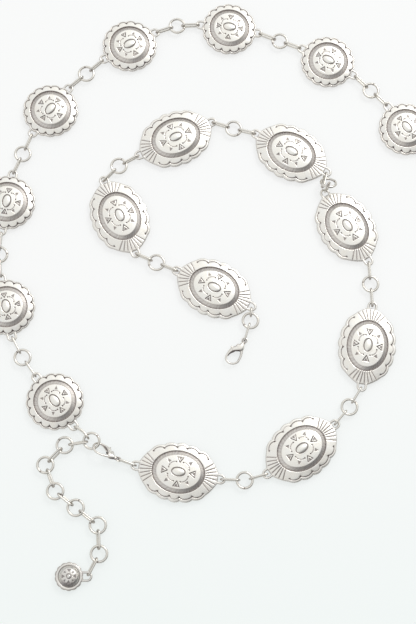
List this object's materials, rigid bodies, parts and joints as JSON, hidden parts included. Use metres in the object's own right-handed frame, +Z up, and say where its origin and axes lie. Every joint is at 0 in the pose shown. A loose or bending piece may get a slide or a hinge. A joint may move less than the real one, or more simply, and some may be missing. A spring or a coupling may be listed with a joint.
{
  "type": "chain belt",
  "caption": "Chain belt of domed, scalloped metal conchos, round and oval, joined by rings and long links, with lever clasps, an extension chain and a drop, lying coiled.",
  "frame": {"origin": "on the surface that the belt lies on, under the middle of its box", "axes": "+Z up from that surface; +Y away from the viewer of the picture, along the coil's longest side; +X to the right"},
  "size_m": [0.2726, 0.3343, 0.0111],
  "materials": {
    "concho_silver": "antique silver plate, satin with darkened recesses",
    "link_silver": "antique silver plate, satin wire",
    "clasp_silver": "antique silver plate, smooth casting",
    "drop_silver": "darkened silver plate"
  },
  "bodies": {
    "root": {"clasp_1_body": "clasp_silver", "clasp_1_link": "link_silver", "clasp_2_body": "clasp_silver", "drop": "drop_silver", "end_clasp": "clasp_silver", "ext_link_0": "link_silver", "ext_link_1": "link_silver", "ext_link_2": "link_silver", "ext_link_3": "link_silver", "ext_link_4": "link_silver", "ext_link_5": "link_silver", "ext_link_6": "link_silver", "ext_link_7": "link_silver", "ext_ring_1": "link_silver", "ext_ring_2": "link_silver", "ext_ring_3": "link_silver", "ext_ring_4": "link_silver", "ext_ring_5": "link_silver", "ext_ring_6": "link_silver", "ext_ring_7": "link_silver", "oval_1": "concho_silver", "oval_2": "concho_silver", "oval_3": "concho_silver", "oval_4": "concho_silver", "oval_5": "concho_silver", "oval_6": "concho_silver", "oval_7": "concho_silver", "oval_8": "concho_silver", "oval_end_connector": "link_silver", "oval_end_link": "link_silver", "oval_end_ring": "link_silver", "oval_gap_1": "link_silver", "oval_gap_2": "link_silver", "oval_gap_3": "link_silver", "oval_gap_4": "link_silver", "oval_gap_5": "link_silver", "oval_gap_6": "link_silver", "oval_gap_7": "link_silver", "round_1": "concho_silver", "round_2": "concho_silver", "round_3": "concho_silver", "round_4": "concho_silver", "round_5": "concho_silver", "round_6": "concho_silver", "round_7": "concho_silver", "round_8": "concho_silver", "round_end_gap": "link_silver", "round_gap_1": "link_silver", "round_gap_2": "link_silver", "round_gap_3": "link_silver", "round_gap_4": "link_silver", "round_gap_5": "link_silver", "round_gap_6": "link_silver", "round_gap_7": "link_silver"},
    "clasp_1_lever": {"clasp_1_lever": "clasp_silver"},
    "clasp_2_lever": {"clasp_2_lever": "clasp_silver"}
  },
  "joints": [
    {"name": "clasp_1_lever_hinge", "type": "hinge", "parent": "root", "child": "clasp_1_lever", "pos_m": [-0.0605, -0.09516, 0.00259], "axis": [0.3137, 0.537, 0.7831], "range_deg": [0, 28], "stiffness_Nm_per_rad": 0.004, "springref_deg": -17.19},
    {"name": "clasp_2_lever_hinge", "type": "hinge", "parent": "root", "child": "clasp_2_lever", "pos_m": [0.00753, -0.03573, 0.00215], "axis": [0, 0, 1], "range_deg": [0, 28], "stiffness_Nm_per_rad": 0.004, "springref_deg": -17.19}
  ]
}
